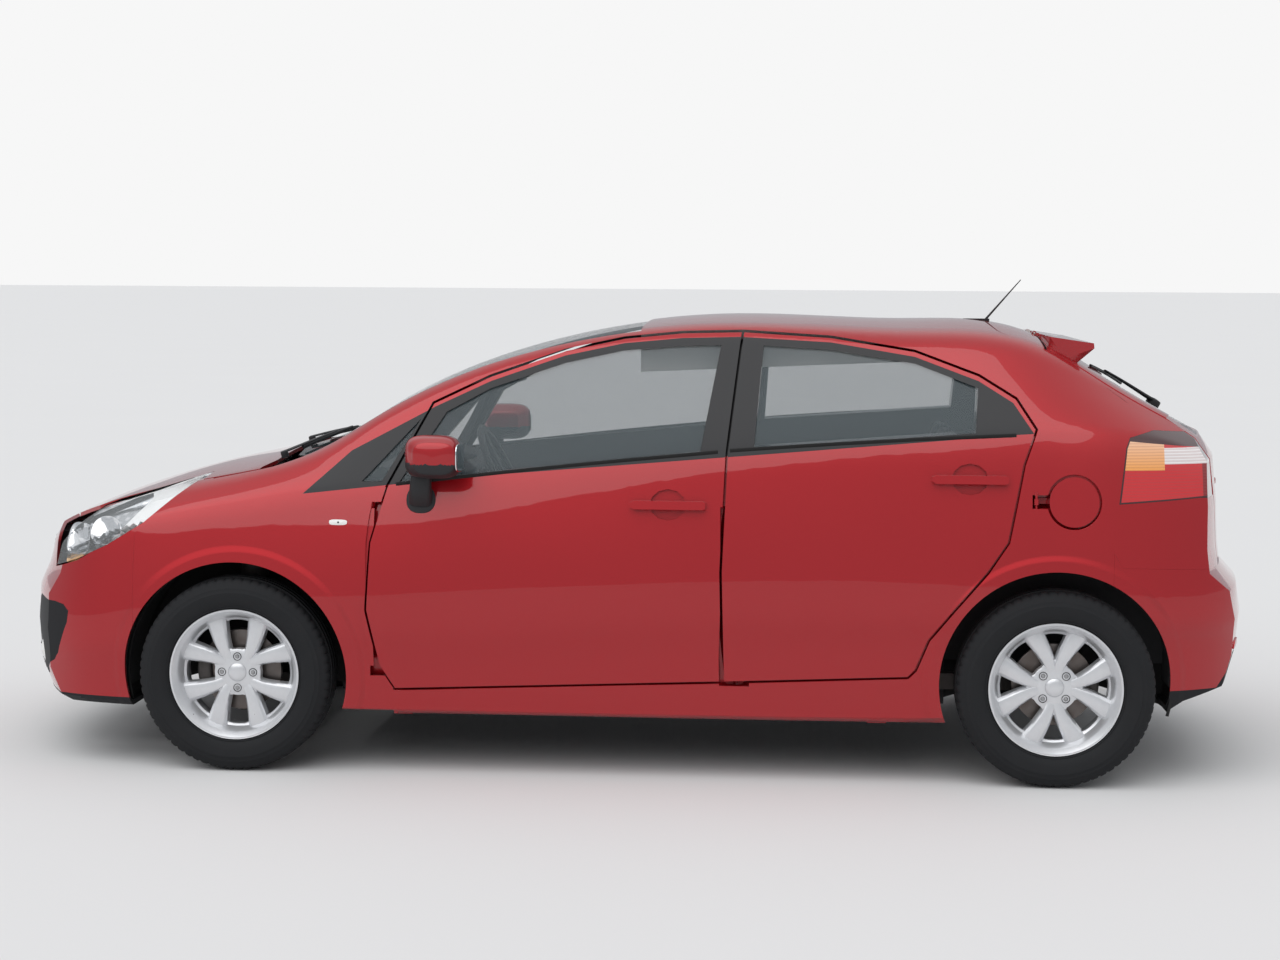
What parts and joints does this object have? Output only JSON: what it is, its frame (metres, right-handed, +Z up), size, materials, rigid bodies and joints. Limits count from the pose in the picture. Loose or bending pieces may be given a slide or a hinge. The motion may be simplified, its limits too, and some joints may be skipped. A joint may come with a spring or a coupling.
{
  "type": "hatchback car",
  "caption": "Hatchback car with hollow cabin, opening doors, bonnet and tailgate, steered front wheels and rolling wheels.",
  "frame": {"origin": "on the ground below the middle of the car's length and width", "axes": "+X forwards to the nose, +Y to the car's left, +Z up"},
  "size_m": [4.0446, 1.95, 1.5649],
  "materials": {
    "paint": "metallic red paint, gloss clear coat",
    "glass": "light tinted glass",
    "lamp": "clear lens over chrome reflectors",
    "tail_lamp": "red lens",
    "trim": "black moulded plastic",
    "shell": "dark primer and underseal",
    "tyre": "black rubber",
    "alloy": "bright painted alloy",
    "iron": "cast iron and steel",
    "cloth": "dark seat cloth",
    "steel": "plain steel"
  },
  "bodies": {
    "car_body": {"aerial": "trim", "body_side_left": "paint", "body_side_right": "paint", "dashboard": "trim", "engine_block": "iron", "exhaust": "steel", "floor_pan": "shell", "front_bumper": "paint", "front_grille": "trim", "front_seats": "cloth", "front_structure": "shell", "front_struts": "iron", "front_subframe": "iron", "headlamp_left": "lamp", "headlamp_right": "lamp", "quarter_glass_left": "glass", "quarter_glass_right": "glass", "rear_axle": "iron", "rear_bumper": "paint", "rear_seat": "cloth", "rear_structure": "shell", "roof": "paint", "steering_wheel": "trim", "tail_lamp_left": "tail_lamp", "tail_lamp_right": "tail_lamp", "windscreen": "glass", "wing_left": "paint", "wing_right": "paint"},
    "bonnet": {"bonnet": "paint"},
    "door_front_left": {"door_front_left": "paint", "door_glass_front_left": "glass", "mirror_left": "paint"},
    "door_front_right": {"door_front_right": "paint", "door_glass_front_right": "glass", "mirror_right": "paint"},
    "door_rear_left": {"door_glass_rear_left": "glass", "door_rear_left": "paint"},
    "door_rear_right": {"door_glass_rear_right": "glass", "door_rear_right": "paint"},
    "fuel_flap": {"fuel_flap": "paint"},
    "knuckle_left": {"knuckle_left": "iron"},
    "knuckle_right": {"knuckle_right": "iron"},
    "tailgate": {"spoiler": "paint", "tailgate": "paint", "tailgate_glass": "glass"},
    "wheel_front_left": {"tyre_front_left": "tyre", "wheel_front_left": "alloy"},
    "wheel_front_right": {"tyre_front_right": "tyre", "wheel_front_right": "alloy"},
    "wheel_rear_left": {"tyre_rear_left": "tyre", "wheel_rear_left": "alloy"},
    "wheel_rear_right": {"tyre_rear_right": "tyre", "wheel_rear_right": "alloy"}
  },
  "joints": [
    {"name": "steer_left", "type": "hinge", "parent": "car_body", "child": "knuckle_left", "pos_m": [1.2025, 0.69, 0.308], "axis": [0, 0, 1], "range_deg": [-33, 33]},
    {"name": "roll_front_left", "type": "hinge", "parent": "knuckle_left", "child": "wheel_front_left", "pos_m": [1.2025, 0.76, 0.308], "axis": [0, 1, 0], "continuous": true},
    {"name": "roll_rear_left", "type": "hinge", "parent": "car_body", "child": "wheel_rear_left", "pos_m": [-1.3675, 0.76, 0.308], "axis": [0, 1, 0], "continuous": true},
    {"name": "open_front_left", "type": "hinge", "parent": "car_body", "child": "door_front_left", "pos_m": [0.735, 0.832, 0.6], "axis": [0, 0, -1], "range_deg": [0, 65]},
    {"name": "open_rear_left", "type": "hinge", "parent": "car_body", "child": "door_rear_left", "pos_m": [-0.376, 0.832, 0.6], "axis": [0, 0, -1], "range_deg": [0, 65]},
    {"name": "steer_right", "type": "hinge", "parent": "car_body", "child": "knuckle_right", "pos_m": [1.2025, -0.69, 0.308], "axis": [0, 0, 1], "range_deg": [-33, 33]},
    {"name": "roll_front_right", "type": "hinge", "parent": "knuckle_right", "child": "wheel_front_right", "pos_m": [1.2025, -0.76, 0.308], "axis": [0, 1, 0], "continuous": true},
    {"name": "roll_rear_right", "type": "hinge", "parent": "car_body", "child": "wheel_rear_right", "pos_m": [-1.3675, -0.76, 0.308], "axis": [0, 1, 0], "continuous": true},
    {"name": "open_front_right", "type": "hinge", "parent": "car_body", "child": "door_front_right", "pos_m": [0.735, -0.832, 0.6], "axis": [0, 0, 1], "range_deg": [0, 65]},
    {"name": "open_rear_right", "type": "hinge", "parent": "car_body", "child": "door_rear_right", "pos_m": [-0.376, -0.832, 0.6], "axis": [0, 0, 1], "range_deg": [0, 65]},
    {"name": "open_bonnet", "type": "hinge", "parent": "car_body", "child": "bonnet", "pos_m": [1.15, 0, 0.938], "axis": [0, -1, 0], "range_deg": [0, 60]},
    {"name": "open_tailgate", "type": "hinge", "parent": "car_body", "child": "tailgate", "pos_m": [-1.341, 0, 1.388], "axis": [0, 1, 0], "range_deg": [0, 80]},
    {"name": "open_fuel_flap", "type": "hinge", "parent": "car_body", "child": "fuel_flap", "pos_m": [-1.296, 0.835, 0.889], "axis": [0, 0, -1], "range_deg": [0, 90]}
  ],
  "couplings": [
    {"joint": "steer_right", "follows": "steer_left", "ratio": 1}
  ]
}
